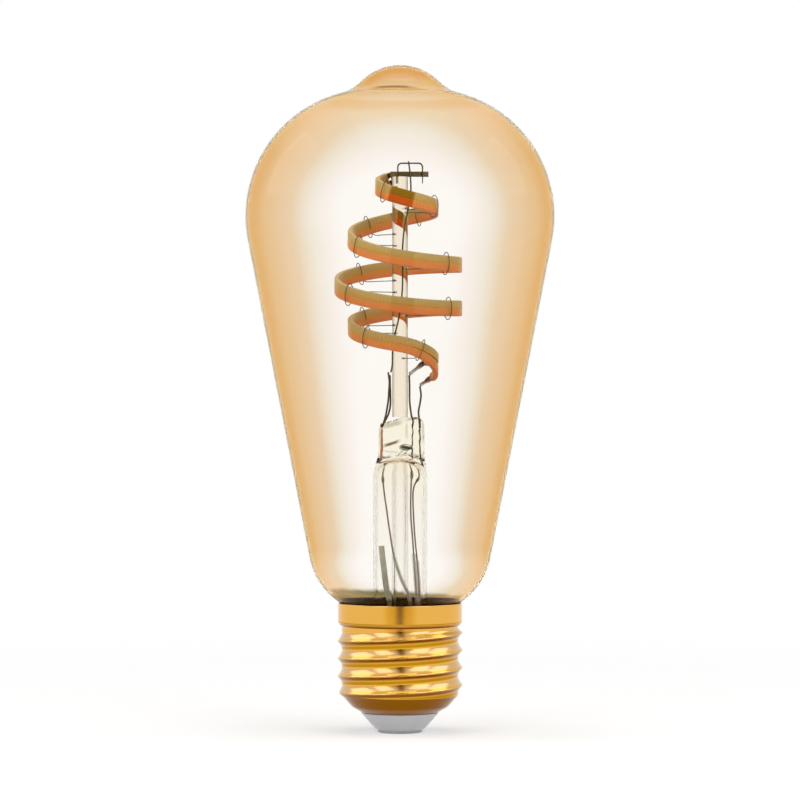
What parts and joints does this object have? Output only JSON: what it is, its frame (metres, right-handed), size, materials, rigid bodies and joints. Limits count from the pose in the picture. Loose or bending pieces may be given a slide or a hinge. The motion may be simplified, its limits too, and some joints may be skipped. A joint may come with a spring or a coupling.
{
  "type": "smart light bulb",
  "caption": "Teardrop glass lamp with twin flexible filaments wound as one spiral round a glass rod, a screw cap, and a driver with a radio inside the cap.",
  "frame": {"origin": "centre of the bottom face of the centre contact", "axes": "+Z along the lamp's axis from the cap to the tip of the glass, -Y towards the front, where the climbing lead runs"},
  "size_m": [0.064, 0.064, 0.138],
  "materials": {
    "bulb_glass": "clear blown glass with a thin gold coating, strongest at the rim",
    "mount_glass": "clear glass, fire polished",
    "nickel_wire": "dull nickel, drawn",
    "cool_phosphor": "translucent silicone with pale yellow phosphor",
    "warm_phosphor": "translucent silicone with orange phosphor",
    "tab_metal": "plated steel strip",
    "seal_wire": "copper-clad wire, oxidised red",
    "lead_wire": "tinned copper wire",
    "lead_sleeve": "pale sleeve",
    "antenna_sleeve": "grey-green flat sleeve",
    "cap_brass": "rolled sheet brass, polished",
    "cap_insulator": "pale grey, vitrified",
    "contact_metal": "tinned brass, slightly worn",
    "cement": "dark basing cement, grainy",
    "board_green": "glass-fibre board with solder mask",
    "film_yellow": "thin insulating film",
    "chip_black": "moulded black epoxy",
    "ferrite_black": "ferrite drum with enamelled winding",
    "capacitor_can": "shrink sleeve over an aluminium can",
    "resistor_body": "glazed resistor body",
    "radio_blue": "thin board with dark blue solder mask",
    "shield_tin": "tinned sheet",
    "chip_tan": "fired ceramic chips with tinned ends",
    "live_insulation": "red wire insulation",
    "neutral_insulation": "blue wire insulation"
  },
  "bodies": {
    "root": {"envelope": "bulb_glass", "stem_flare": "mount_glass", "exhaust_tube": "mount_glass", "centre_post": "mount_glass", "support_hook_1": "nickel_wire", "support_hook_2": "nickel_wire", "support_hook_3": "nickel_wire", "support_hook_4": "nickel_wire", "support_hook_5": "nickel_wire", "support_hook_6": "nickel_wire", "support_hook_7": "nickel_wire", "support_hook_8": "nickel_wire", "support_hook_9": "nickel_wire", "support_hook_10": "nickel_wire", "support_hook_11": "nickel_wire", "support_hook_12": "nickel_wire", "top_bracket": "nickel_wire", "common_bar": "nickel_wire", "cool_filament": "cool_phosphor", "warm_filament": "warm_phosphor", "cool_start_tab": "tab_metal", "warm_start_tab": "tab_metal", "cool_end_tab": "tab_metal", "warm_end_tab": "tab_metal", "common_lead": "nickel_wire", "common_inner_lead": "nickel_wire", "cool_inner_lead": "nickel_wire", "warm_inner_lead": "nickel_wire", "common_seal_wire": "seal_wire", "cool_seal_wire": "seal_wire", "warm_seal_wire": "seal_wire", "common_outer_lead": "lead_wire", "cool_outer_lead": "lead_wire", "warm_outer_lead": "lead_wire", "common_sleeve": "lead_sleeve", "cool_sleeve": "lead_sleeve", "warm_sleeve": "lead_sleeve", "antenna": "antenna_sleeve", "screw_shell": "cap_brass", "cap_insulator": "cap_insulator", "centre_contact": "contact_metal", "basing_cement": "cement", "driver_board": "board_green", "driver_sleeve": "film_yellow", "bridge_rectifier": "chip_black", "buck_inductor": "ferrite_black", "storage_capacitor": "capacitor_can", "driver_chip": "chip_black", "channel_transistors": "chip_black", "radio_board": "radio_blue", "radio_shield": "shield_tin", "fuse_resistor": "resistor_body", "chip_resistors": "chip_black", "chip_capacitors": "chip_tan", "live_wire": "live_insulation", "neutral_wire": "neutral_insulation"}
  },
  "joints": []
}
